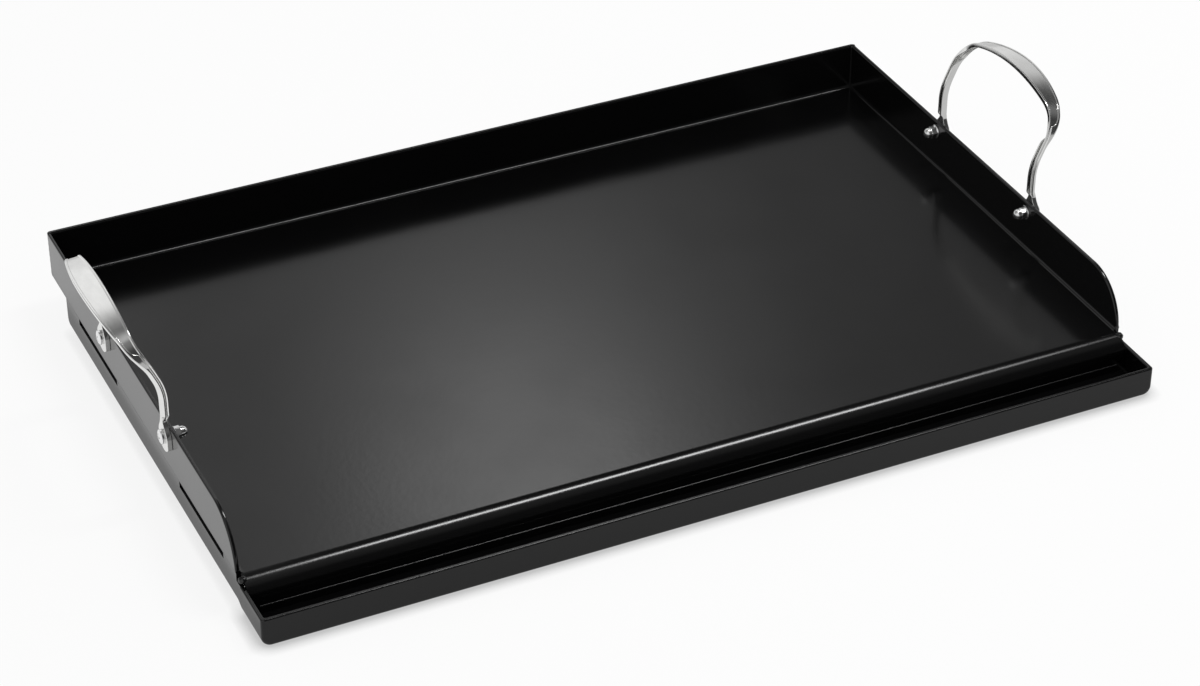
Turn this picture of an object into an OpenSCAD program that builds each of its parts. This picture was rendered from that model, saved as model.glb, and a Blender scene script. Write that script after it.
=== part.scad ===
// Camp griddle plate: a folded steel tray with a grease trough along its front,
// two side skirts with vent slots, and two bolted stainless handles.
// Millimetres. +X to the right, +Y to the back, +Z up; the trough rests on z = 0.

/* [Tray] */
// Overall width across the outer faces of the side walls
tray_w = 635; // [560:1:760]
// Overall depth from the trough's front face to the back wall's outer face
tray_d = 419; // [390:1:520]
// Height of the wall rims
rim_z = 61; // [55:0.5:80]
// Height of the cooking surface
floor_z = 26; // [25:0.5:34]
// Thickness of the coated sheet
sheet = 3; // [2:0.1:3.5]
// Inside radius of the bends at the feet of the walls
bend_r = 2.5; // [1:0.1:4]
// Distance of the side walls' front edges behind the trough's front face
wall_setback = 44; // [40:0.5:56]
// Radius of the curve at the front of each side wall
wall_curve_r = 35; // [15:0.5:40]
// Outside radius of the roll at the front of the cooking surface
roll_r = 13.5; // [6:0.5:18]

/* [Grease trough] */
// Height of the trough's rim
trough_rim_z = 21; // [15:0.5:23]
// Outside radius of the bends along the bottom of the trough's ends
trough_end_r = 8; // [5:0.5:11]
// Outside radius of the trough's front bottom edge
trough_edge_r = 3; // [1:0.5:5]
// Outside radius of the trough's upright front corners
trough_corner_r = 2.5; // [1:0.5:5]
// Width of the ledge that the trough's bottom carries behind the tray's front lip
trough_ledge = 4; // [4:0.5:8]

/* [Side skirts] */
// Height of the rail's lower edge
rail_z = 7; // [4:0.5:10]
// Distance of the rail's back end from the back wall's outer face
rail_back_gap = 34; // [10:1:60]
// Radius of the rail's back bottom corner
rail_corner_r = 4; // [1:0.5:8]
// Run of the slope at the rail's front end
step_run = 6; // [2:0.5:12]
// Height of that slope's lower end
step_z = 3; // [1:0.5:3.5]
// Depth of the groove left along the seam between skirt and tray
seam_drop = 2; // [1:0.1:3]
// Length of each vent slot
vent_len = 82; // [40:1:95]
// Height of each vent slot below the seam
vent_h = 4.5; // [3:0.1:8]
// Land between the side wall's front edge and the front vent
vent_front_land = 23; // [20:1:40]
// Land between the rear vent and the rail's back end
vent_rear_land = 29; // [20:1:40]

/* [Handles] */
// Distance between the two screws of a handle
screw_pitch = 125; // [100:1:150]
// Distance of the handle's middle behind the trough's front face
handle_mid = 226; // [180:1:260]
// Depth of the screws below the wall rim
screw_drop = 7.5; // [6:0.1:14]
// Width of the flat tab under each screw
tab_w = 16.4; // [13:0.1:20]
// Depth of the tab from the wall to its outer face
tab_t = 3.4; // [2.4:0.1:3.4]
// Radius of the tab's lower end about the screw
tab_end_r = 10.3; // [10.2:0.1:14]
// Height above the screws at which the tab starts to narrow
tab_side = 8; // [2:0.5:10]
// Height above the screws at which the tab is pressed into the leg
crimp_rise = 15; // [12:0.5:20]
// Narrowing of the tab's upper end inside the leg, on each side
tab_taper = 0.5; // [0.3:0.1:0.9]
// Thickness of the strip that legs and grip are folded from
strip_t = 1.3; // [0.8:0.1:1.5]
// Width of a leg along the wall
leg_w = 4.6; // [4.2:0.1:7]
// Depth of a leg across the wall
leg_d = 5.6; // [4.5:0.1:8]
// Reach of the legs over the wall, inside its outer face
leg_in = 2.1; // [0.5:0.1:2.5]
// Shift of the legs from the screws towards the handle's middle
leg_shift = 1; // [0:0.1:2]
// Height of the grip's folded edges
fold_h = 3.2; // [2.8:0.1:5]
// Height above the screws at which a leg starts to lean outwards
leg_straight = 25.4; // [18:0.1:40]
// Radius of the outward bend
lean_r = 44.3; // [20:0.1:60]
// Outward lean of the handle, in degrees
lean = 23.7; // [10:0.1:40]
// Length of a leg from the screw to the shoulder, along the metal
leg_len = 53.9; // [50:0.1:80]
// Radius of the shoulders between legs and grip
shoulder_r = 27; // [15:0.1:35]
// Rise of the arched grip at each end, in degrees
grip_rise = 18.7; // [8:0.1:30]
// Width of the strip at the neck between leg and grip
neck_w = 8; // [6:0.1:10]
// Width of the grip in its middle
grip_w = 15.9; // [14:0.1:26]
// Fullness of the grip's outline, 1 for a slender leaf
grip_full = 0.74; // [0.4:0.01:1]
// Length of the strip between the top of a leg and the neck
neck_up = 21; // [8:0.5:26]
// Shift of the grip outwards from the middle of the legs
grip_shift = 2.6; // [0:0.1:4]
// Tilt of the grip's face back towards the tray, in degrees
grip_tilt = 15.3; // [0:0.1:30]
// Length below the top of a leg in which its folds start to change into those of the grip
blend_len = 5; // [2:0.5:10]

/* [Fasteners] */
// Diameter of the screw shank
screw_d = 5; // [4:0.1:5.5]
// Diameter of the screw head
head_d = 10; // [9:0.1:13]
// Height of the screw head
head_h = 3.2; // [2.5:0.1:4]
// Rise of the head's crown above its edge
head_crown = 1.3; // [1:0.1:2.2]
// Width of the cross recess
recess_w = 1.3; // [0.8:0.1:1.6]
// Length of the cross recess
recess_len = 5.6; // [4:0.1:6.5]
// Depth of the cross recess
recess_depth = 1.5; // [0.8:0.1:2]
// Outside diameter of the washer
washer_d = 10; // [9:0.1:12]
// Thickness of the washer
washer_t = 1; // [0.6:0.1:1.6]
// Width of the cap nut across its flats
nut_af = 8; // [7.6:0.1:9]
// Height of the cap nut's hexagon
nut_hex_h = 4; // [3:0.1:5]
// Diameter of the cap nut's dome
dome_d = 7.4; // [7:0.1:7.6]
// Height of the cap nut over all
nut_h = 9; // [8.6:0.1:11]
// Depth of the cap nut's blind hole
nut_hole = 6.6; // [5:0.1:7]
// Free length between the screw's end and the bottom of that hole
tip_gap = 0.6; // [0.2:0.1:1.5]

/* [Welds] */
// Sheet left at the root of each back corner under the weld
corner_root = 0.4; // [0.2:0.1:1]
// Radius of the weld at each side wall's foot
foot_weld_r = 3.2; // [2.8:0.1:4]
// Distance of that weld's middle in front of the wall's front edge
foot_weld_gap = 4.5; // [4:0.1:6]
// Height of that weld's middle above the trough's rim
foot_weld_rise = 2.5; // [1:0.1:2.7]
// Radius of the seam along the back of the trough
trough_weld_r = 3; // [2:0.1:3.8]
// Radius of the stitches inside the skirts
stitch_r = 3.5; // [2.5:0.1:4.5]
// Length of each stitch
stitch_len = 16; // [8:1:18]

/* [Clearances] */
// Radial clearance of the screw in the walls, tabs and washers
hole_gap = 0.25; // [0.1:0.05:0.5]
// Radial clearance between screw and cap nut
thread_gap = 0.05; // [0.02:0.01:0.1]

/* [Hidden] */

$fn = 64;
coat_black = "#1d1d1f";
stainless = "#c9cacb";
bright_steel = "#e0e0e0";

// Overshoot of cutting shapes
over = 1;
half_w = tray_w / 2;
under_z = floor_z - sheet;
bend_out_r = bend_r + sheet;
inner_x = half_w - sheet;
lip_y = wall_setback - roll_r;
lip_back_y = lip_y + sheet;
trough_back_y = lip_back_y + trough_ledge;
rail_end_y = tray_d - rail_back_gap;
seam_z = under_z + bend_out_r - seam_drop;
corner_weld_r = sheet - corner_root;
vent_starts = [wall_setback + vent_front_land, rail_end_y - vent_rear_land - vent_len];
hole_r = screw_d / 2 + hole_gap;
screw_z = rim_z - screw_drop;

// Lands between the ends of the rail and the vents, as pairs of start and end
lands = [
    [wall_setback, vent_starts[0]],
    [vent_starts[0] + vent_len, vent_starts[1]],
    [vent_starts[1] + vent_len, rail_end_y]
];

// Measures of the handle's arch, laid out flat
half_pitch = screw_pitch / 2;
lean_arc = lean_r * lean * PI / 180;
shoulder_turn = 90 - grip_rise;
shoulder_end_u = half_pitch - shoulder_r * (1 - cos(shoulder_turn));
grip_r = shoulder_end_u / sin(grip_rise);
grip_centre_v = leg_len + shoulder_r * sin(shoulder_turn) - grip_r * cos(grip_rise);
grip_arc = grip_r * grip_rise * PI / 180;
shoulder_arc = shoulder_r * shoulder_turn * PI / 180;
arch_half = grip_arc + shoulder_arc;
leaf_half = arch_half - neck_up;
leg_lap = 3;
foot_over = 0.1;
foot_drop = 0.4;
foot_h = 4.9;
leg_steps = 12;
shoulder_steps = 12;
grip_steps = 12;
edge_chamfer = strip_t / 2;
fold_step = 0.05;

// Puts a shape drawn with y = 0 at the trough's front face into the part's frame
module in_frame() {
    translate([0, -tray_d / 2, 0]) children();
}

// Turns a shape drawn on the right side to the given side, 1 right or -1 left
module on_side(side) {
    if (side < 0) mirror([1, 0, 0]) children();
    else children();
}

// Extrudes an outline drawn in (y, z) along X from x0 over a length
module along_x(x0, length) {
    translate([x0, 0, 0]) rotate([90, 0, 90]) linear_extrude(length) children();
}

// Extrudes an outline drawn in (x, z) along Y from y0 to y1
module along_y(y0, y1) {
    translate([0, y1, 0]) rotate([90, 0, 0]) linear_extrude(y1 - y0) children();
}

// What is cut away to round the corner at the origin, whose sides run along +x and +y
module corner_cut(r) {
    difference() {
        translate([-over, -over]) square(r + over);
        translate([r, r]) circle(r);
    }
}

// Block with its left, right and back bottom edges rounded
module round_block(width, y0, y1, z0, z1, r) {
    intersection() {
        along_y(y0, y1) difference() {
            translate([-width / 2, z0]) square([width, z1 - z0]);
            translate([-width / 2, z0]) corner_cut(r);
            translate([width / 2, z0]) mirror([1, 0]) corner_cut(r);
        }
        along_x(-width / 2 - over, width + 2 * over) difference() {
            translate([y0, z0]) square([y1 - y0, z1 - z0]);
            translate([y1, z0]) mirror([1, 0]) corner_cut(r);
        }
    }
}

module tray_outside() {
    round_block(tray_w, wall_setback, tray_d, under_z, rim_z, bend_out_r);
}

module tray_inside() {
    round_block(2 * inner_x, wall_setback - over, tray_d - sheet, floor_z, rim_z + over, bend_r);
}

// Front curve of both side walls, cut across the whole tray above the floor
module wall_curve_cut() {
    along_x(-half_w - over, tray_w + 2 * over) intersection() {
        translate([wall_setback, rim_z]) mirror([0, 1]) corner_cut(wall_curve_r);
        translate([wall_setback - over, floor_z]) square([wall_curve_r + 2 * over, rim_z]);
    }
}

// Notches at the outer back corners, which the corner welds fill
module corner_notches() {
    for (side = [-1, 1]) on_side(side)
        translate([half_w - corner_weld_r, tray_d - corner_weld_r, under_z - over])
            cube([corner_weld_r + over, corner_weld_r + over, rim_z]);
}

// Holes for the handles' screws through a wall or tab of the given side
module screw_holes() {
    for (end = [-1, 1])
        translate([inner_x - over, handle_mid + end * half_pitch, screw_z])
            rotate([0, 90, 0]) cylinder(r = hole_r, h = sheet + tab_t + 2 * over);
}

// Roll at the front of the cooking surface
module front_roll() {
    along_x(-inner_x, 2 * inner_x) intersection() {
        translate([wall_setback, floor_z - roll_r]) difference() {
            circle(roll_r);
            circle(roll_r - sheet);
        }
        translate([lip_y, floor_z - roll_r]) square(roll_r);
    }
}

// Lip below the roll, standing on the trough's bottom between its round ends
module front_lip() {
    intersection() {
        along_y(lip_y, lip_back_y) trough_front(sheet);
        along_x(-inner_x, 2 * inner_x) translate([lip_y, 0]) square([sheet, floor_z - roll_r]);
    }
}

module griddle_tray() {
    color(coat_black) in_frame() {
        difference() {
            tray_outside();
            tray_inside();
            wall_curve_cut();
            corner_notches();
            for (side = [-1, 1]) on_side(side) screw_holes();
        }
        front_roll();
        front_lip();
    }
}

// Front outline in (x, z) with round bottom corners, drawn in from the trough's outside by an inset
module trough_front(inset) {
    r = trough_end_r - inset;
    width = tray_w - 2 * inset;
    difference() {
        translate([-width / 2, inset]) square([width, trough_rim_z]);
        for (side = [0, 1]) mirror([side, 0])
            translate([-width / 2, inset]) corner_cut(r);
    }
}

// Bottom, front wall and both ends of the trough
module grease_trough() {
    color(coat_black) in_frame() difference() {
        intersection() {
            along_y(0, trough_back_y) trough_front(0);
            along_x(-half_w - over, tray_w + 2 * over) difference() {
                square([trough_back_y, trough_rim_z]);
                corner_cut(trough_edge_r);
            }
            linear_extrude(trough_rim_z) difference() {
                translate([-half_w, 0]) square([tray_w, trough_back_y]);
                for (side = [0, 1]) mirror([side, 0]) translate([-half_w, 0]) corner_cut(trough_corner_r);
            }
        }
        along_y(sheet, trough_back_y + over) trough_front(sheet);
    }
}

// Outline of a skirt in (y, z): the rail behind the trough's end
module skirt_outline() {
    difference() {
        polygon([
            [trough_back_y, step_z], [trough_back_y + step_run, rail_z],
            [rail_end_y, rail_z], [rail_end_y, seam_z], [wall_setback, seam_z],
            [wall_setback, trough_rim_z], [trough_back_y, trough_rim_z]
        ]);
        translate([rail_end_y, rail_z]) mirror([1, 0]) corner_cut(rail_corner_r);
        for (start = vent_starts)
            translate([start, seam_z - vent_h]) square([vent_len, vent_h + over]);
    }
}

module skirt(side) {
    color(coat_black) in_frame() on_side(side) difference() {
        along_x(inner_x, sheet) skirt_outline();
        tray_outside();
    }
}

// Place on the leaning profile at length v from the screws: offset outwards, height and slope
function lean_at(v) =
    let (turn = (v - leg_straight) / lean_r * 180 / PI,
         rest = v - leg_straight - lean_arc)
    v <= leg_straight ? [0, v, 0]
    : rest <= 0 ? [lean_r * (1 - cos(turn)), leg_straight + lean_r * sin(turn), turn]
    : [lean_r * (1 - cos(lean)) + rest * sin(lean),
       leg_straight + lean_r * sin(lean) + rest * cos(lean), lean];

// Stations from the front leg to the middle of the grip: place across, length up the metal,
// heading from upright, and distance from the middle of the grip
front_half = [
    for (i = [0 : leg_steps])
        let (v0 = crimp_rise - leg_lap, v = v0 + (leg_len - v0) * i / leg_steps)
        [-half_pitch, v, 0, arch_half + leg_len - v],
    for (i = [1 : shoulder_steps])
        let (h = shoulder_turn * i / shoulder_steps)
        [-half_pitch + shoulder_r * (1 - cos(h)), leg_len + shoulder_r * sin(h), h,
         grip_arc + shoulder_arc * (1 - i / shoulder_steps)],
    for (i = [1 : grip_steps])
        let (h = shoulder_turn + grip_rise * i / grip_steps)
        [-grip_r * cos(h), grip_centre_v + grip_r * sin(h), h, grip_arc * (1 - i / grip_steps)]
];
stations = concat(front_half, [
    for (i = [len(front_half) - 2 : -1 : 0])
        let (s = front_half[i]) [-s[0], s[1], 180 - s[2], s[3]]
]);

// Smooth step from 0 to 1
function ease(t) = let (u = max(0, min(1, t))) u * u * (3 - 2 * u);

function mix(a, b, t) = a + (b - a) * t;

// Width of the grip at a distance from its middle
function grip_width(d) = neck_w + (grip_w - neck_w) * pow(cos(90 * min(d, leaf_half) / leaf_half), grip_full);

// Section of the strip at a distance from the middle of the grip: outwards from the handle's plane, then
// away from the handle's middle. In the legs it is open towards the tray, in the grip downwards.
function section(d) =
    let (t = ease((arch_half + blend_len - d) / (neck_up + blend_len)), c = edge_chamfer,
         shift = grip_shift * t, tilt = grip_tilt * t,
         in = mix(-leg_d / 2, -grip_width(d) / 2, t), out = -in,
         top = mix(leg_w / 2 - leg_shift, fold_h / 2, t), low = mix(-leg_w / 2 - leg_shift, -fold_h / 2, t),
         under = mix(in, out - strip_t - fold_step, ease(1.6 * t)),
         hem = mix(top - strip_t - fold_step, low, ease(1.4 * t - 0.4)))
    [for (q = [
        [in + c, top], [out - c, top], [out, top - c], [out, low + c], [out - c, low],
        [under, low], [under, low + strip_t], [out - strip_t, low + strip_t], [out - strip_t, top - strip_t],
        [in + strip_t, top - strip_t], [in + strip_t, hem], [in, hem], [in, top - c]
    ]) [shift + q[0] * cos(tilt) - q[1] * sin(tilt), q[0] * sin(tilt) + q[1] * cos(tilt)]];

// One ring of points round the strip at a station
function ring(s) =
    let (p = lean_at(s[1]),
         away = [sin(s[2]) * sin(p[2]), -cos(s[2]), sin(s[2]) * cos(p[2])],
         outwards = [cos(p[2]), 0, -sin(p[2])],
         middle = [half_w - leg_in + leg_d / 2 + p[0], handle_mid + s[0], screw_z + p[1]])
    [for (q = section(s[3])) middle + q[0] * outwards + q[1] * away];

// Folded strip of legs and grip, swept along the stations
module handle_strip() {
    rings = [for (s = stations) ring(s)];
    n = len(rings[0]);
    last = (len(rings) - 1) * n;
    sides = [
        for (i = [0 : len(rings) - 2], j = [0 : n - 1])
            let (k = (j + 1) % n, a = i * n + j, b = i * n + k, c = a + n, d = b + n)
            each [[a, c, b], [b, c, d]]
    ];
    cap = [[0, 1, 2, 8, 9, 12], [9, 10, 11, 12], [2, 3, 7, 8], [3, 4, 5, 6, 7]];
    caps = [
        for (face = cap)
            each [face, [for (j = [len(face) - 1 : -1 : 0]) last + face[j]]]
    ];
    polyhedron([for (r = rings) each r], concat(sides, caps));
}

// Flat tab around a screw, in (y, z) about the screw's axis; its upper end goes into the leg
module tab_outline(end) {
    low = -sqrt(pow(tab_end_r, 2) - pow(tab_w / 2, 2));
    top_half = leg_w / 2 - tab_taper;
    top_y = -end * leg_shift;
    intersection() {
        circle(tab_end_r);
        translate([-tab_w / 2, -tab_end_r]) square([tab_w, tab_end_r]);
    }
    polygon([
        [-tab_w / 2, low], [tab_w / 2, low], [tab_w / 2, tab_side],
        [top_y + top_half, crimp_rise], [top_y - top_half, crimp_rise], [-tab_w / 2, tab_side]
    ]);
}

// Pressed end that closes the foot of a leg round the tab
module leg_foot(end) {
    translate([half_w - leg_in - foot_over,
               handle_mid + end * (half_pitch - leg_shift) - leg_w / 2 - foot_over,
               screw_z + crimp_rise - leg_lap - foot_drop])
        cube([leg_d + 2 * foot_over, leg_w + 2 * foot_over, foot_h]);
}

module handle(side) {
    color(stainless) in_frame() on_side(side) difference() {
        union() {
            handle_strip();
            for (end = [-1, 1]) translate([0, handle_mid + end * half_pitch, screw_z])
                along_x(half_w, tab_t) tab_outline(end);
            for (end = [-1, 1]) leg_foot(end);
        }
        screw_holes();
    }
}

// Places a fastener drawn along +Z, outwards from the wall's outer face, at a screw
module at_screw(side, end) {
    in_frame() on_side(side)
        translate([half_w, handle_mid + end * half_pitch, screw_z]) rotate([0, 90, 0]) children();
}

module screw(side, end) {
    crown_r = (pow(head_d / 2, 2) + pow(head_crown, 2)) / (2 * head_crown);
    shank = tab_t + sheet + washer_t + nut_hole - tip_gap;
    color(bright_steel) at_screw(side, end) translate([0, 0, tab_t]) {
        difference() {
            intersection() {
                cylinder(d = head_d, h = head_h);
                translate([0, 0, head_h - crown_r]) sphere(crown_r);
            }
            for (turn = [0, 90]) rotate(turn)
                translate([-recess_len / 2, -recess_w / 2, head_h - recess_depth])
                    cube([recess_len, recess_w, recess_depth + over]);
        }
        translate([0, 0, -shank]) cylinder(d = screw_d, h = shank);
    }
}

module washer(side, end) {
    color(bright_steel) at_screw(side, end) translate([0, 0, -sheet - washer_t]) difference() {
        cylinder(d = washer_d, h = washer_t);
        translate([0, 0, -over]) cylinder(r = hole_r, h = washer_t + 2 * over);
    }
}

module cap_nut(side, end) {
    dome_r = dome_d / 2;
    color(bright_steel) at_screw(side, end) translate([0, 0, -sheet - washer_t]) mirror([0, 0, 1])
        difference() {
            union() {
                cylinder(d = nut_af / cos(30), h = nut_hex_h, $fn = 6);
                cylinder(r = dome_r, h = nut_h - dome_r);
                translate([0, 0, nut_h - dome_r]) sphere(dome_r);
            }
            translate([0, 0, -over]) cylinder(r = screw_d / 2 + thread_gap, h = nut_hole + over);
        }
}

// Weld that fills a back corner between side wall and back wall
module back_corner_weld(side) {
    color(coat_black) in_frame() on_side(side) intersection() {
        tray_outside();
        translate([half_w - corner_weld_r, tray_d - corner_weld_r, 0]) {
            intersection() {
                cylinder(r = corner_weld_r, h = rim_z);
                cube([corner_weld_r, corner_weld_r, rim_z]);
            }
        }
    }
}

// Weld at the foot of a side wall, between the end of the roll and the rim beside it
module wall_foot_weld(side) {
    color(coat_black) in_frame() on_side(side) difference() {
        translate([inner_x, wall_setback - foot_weld_gap, trough_rim_z + foot_weld_rise])
            sphere(foot_weld_r);
        along_x(0, inner_x) translate([wall_setback, floor_z - roll_r]) circle(roll_r);
        translate([inner_x, 0, 0]) cube([sheet + over, wall_setback, trough_rim_z]);
    }
}

// Stitches between the inside of a skirt and the tray's underside, one on each land
module skirt_welds(side) {
    color(coat_black) in_frame() on_side(side) difference() {
        for (land = lands) let (mid = (land[0] + land[1]) / 2)
            translate([inner_x, mid - stitch_len / 2, under_z])
                rotate([-90, 0, 0]) cylinder(r = stitch_r, h = stitch_len);
        tray_outside();
        translate([inner_x, 0, 0]) cube([sheet + over, tray_d, rim_z]);
    }
}

// Seam between the back of the tray's front lip and the trough's bottom
module trough_seam_weld() {
    color(coat_black) in_frame() intersection() {
        along_x(-inner_x, 2 * inner_x) translate([lip_back_y, sheet]) intersection() {
            circle(trough_weld_r);
            square(trough_weld_r);
        }
        along_y(lip_back_y, trough_back_y) trough_front(sheet);
    }
}

griddle_tray();
grease_trough();
skirt(-1);  // left_skirt
skirt(1);  // right_skirt
handle(-1);  // left_handle
handle(1);  // right_handle
screw(-1, -1);  // left_front_screw
screw(-1, 1);  // left_rear_screw
screw(1, -1);  // right_front_screw
screw(1, 1);  // right_rear_screw
washer(-1, -1);  // left_front_washer
washer(-1, 1);  // left_rear_washer
washer(1, -1);  // right_front_washer
washer(1, 1);  // right_rear_washer
cap_nut(-1, -1);  // left_front_cap_nut
cap_nut(-1, 1);  // left_rear_cap_nut
cap_nut(1, -1);  // right_front_cap_nut
cap_nut(1, 1);  // right_rear_cap_nut
back_corner_weld(-1);  // left_back_corner_weld
back_corner_weld(1);  // right_back_corner_weld
wall_foot_weld(-1);  // left_wall_foot_weld
wall_foot_weld(1);  // right_wall_foot_weld
skirt_welds(-1);  // left_skirt_welds
skirt_welds(1);  // right_skirt_welds
trough_seam_weld();
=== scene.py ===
import math

import bmesh
import bpy
from bpy.props import FloatProperty, FloatVectorProperty, PointerProperty
from mathutils import Matrix, Vector, noise


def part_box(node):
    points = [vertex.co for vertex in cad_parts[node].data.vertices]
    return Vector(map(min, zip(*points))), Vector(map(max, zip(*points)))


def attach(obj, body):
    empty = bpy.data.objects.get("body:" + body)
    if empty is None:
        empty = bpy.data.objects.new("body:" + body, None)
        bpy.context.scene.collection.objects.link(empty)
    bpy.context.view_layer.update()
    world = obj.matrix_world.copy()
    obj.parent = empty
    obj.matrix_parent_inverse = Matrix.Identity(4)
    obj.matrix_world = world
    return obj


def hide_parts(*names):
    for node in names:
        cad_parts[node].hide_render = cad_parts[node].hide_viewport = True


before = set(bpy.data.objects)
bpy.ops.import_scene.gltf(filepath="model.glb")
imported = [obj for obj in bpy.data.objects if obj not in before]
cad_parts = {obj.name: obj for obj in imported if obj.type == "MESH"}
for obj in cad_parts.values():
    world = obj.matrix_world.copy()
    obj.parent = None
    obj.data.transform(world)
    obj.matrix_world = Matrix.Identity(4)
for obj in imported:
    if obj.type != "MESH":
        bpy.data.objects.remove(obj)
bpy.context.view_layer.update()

bl_info = {
    "name": "Camp griddle plate",
    "version": (1, 0, 0),
    "blender": (4, 5, 0),
    "location": "3D View > Sidebar > Griddle",
    "description": "Coated griddle tray with a grease trough, side rails and bolted handles",
    "category": "Object",
}

SIDES = {"left": -1, "right": 1}
ENDS = {"front": -1, "rear": 1}
# Points closer than this count as one place, in metres.
TOUCH = 1e-6
# Spacing of the sections along a handle's strip.
STRIP_STEP = 0.0008
# Air left between folded layers of the strip.
FOLD_GAP = 0.00005


def metres(name, description, default):
    """A length in metres."""
    return FloatProperty(name=name, description=description, default=default, unit="LENGTH")


def degrees(name, description, default):
    """An angle whose default is given in degrees."""
    return FloatProperty(
        name=name, description=description, default=math.radians(default), subtype="ANGLE"
    )


def share(name, description, default):
    """A value from 0 to 1."""
    return FloatProperty(
        name=name, description=description, default=default, subtype="FACTOR", min=0, max=1
    )


def colour(name, description, default):
    """A colour in linear red, green and blue."""
    return FloatVectorProperty(
        name=name, description=description, default=default, subtype="COLOR", min=0, max=1
    )


def number(name, description, default):
    """A plain number."""
    return FloatProperty(name=name, description=description, default=default)


class TraySizes(bpy.types.PropertyGroup):
    """Sizes of the folded tray"""

    width: metres("Width", "Across the outer faces of the side walls", 0.635)
    depth: metres("Depth", "From the trough's front face to the back wall's outer face", 0.419)
    rim_height: metres("Rim height", "Height of the wall rims", 0.061)
    floor_height: metres("Floor height", "Height of the cooking surface", 0.026)
    sheet: metres("Sheet", "Thickness of the coated sheet", 0.003)
    bend_radius: metres("Bend radius", "Inside radius at the feet of the walls", 0.0025)
    wall_setback: metres(
        "Wall setback", "Side walls' front edges behind the trough's front face", 0.044
    )
    wall_curve: metres("Wall curve", "Radius of the curve at the front of each side wall", 0.035)
    roll_radius: metres(
        "Roll radius", "Outside radius of the roll at the front of the floor", 0.0135
    )
    rim_round: metres("Rim rounding", "Rounding of the coated rims", 0.0011)
    corner_root: metres("Corner root", "Sheet left under each back corner weld", 0.0004)


class TroughSizes(bpy.types.PropertyGroup):
    """Sizes of the grease trough"""

    rim_height: metres("Rim height", "Height of the trough's rim", 0.021)
    end_radius: metres("End radius", "Outside radius along the bottom of the trough's ends", 0.0065)
    front_radius: metres("Front radius", "Outside radius of the edges round the front face", 0.0027)
    inner_radius: metres("Inner radius", "Inside radius round the back of the front wall", 0.0015)
    ledge: metres("Ledge", "Bottom behind the tray's front lip", 0.004)
    rim_round: metres("Rim rounding", "Rounding of the coated rim", 0.0011)
    flange_height: metres(
        "Flange height", "Top of the low flange in front of the tray's lip", 0.0085
    )
    flange_thickness: metres("Flange thickness", "Thickness of that flange", 0.0012)


class RailSizes(bpy.types.PropertyGroup):
    """Sizes of the side rails under the tray"""

    height: metres("Lower edge", "Height of the rail's lower edge", 0.007)
    back_gap: metres("Back gap", "Rail's back end in front of the back wall", 0.034)
    corner_radius: metres("Corner radius", "Radius of the back bottom corner", 0.004)
    step_run: metres("Step run", "Run of the slope at the front end", 0.006)
    step_height: metres("Step height", "Height of the slope's lower end", 0.0042)
    seam_drop: metres("Seam drop", "Groove between rail and tray", 0.002)
    vent_length: metres("Vent length", "Length of each vent slot", 0.082)
    vent_height: metres("Vent height", "Height of each vent slot below the seam", 0.0045)
    front_land: metres("Front land", "From the wall's front edge to the front vent", 0.023)
    rear_land: metres("Rear land", "From the rear vent to the rail's back end", 0.029)
    edge_round: metres("Edge rounding", "Rounding of the rail's outer edges", 0.0003)


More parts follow.
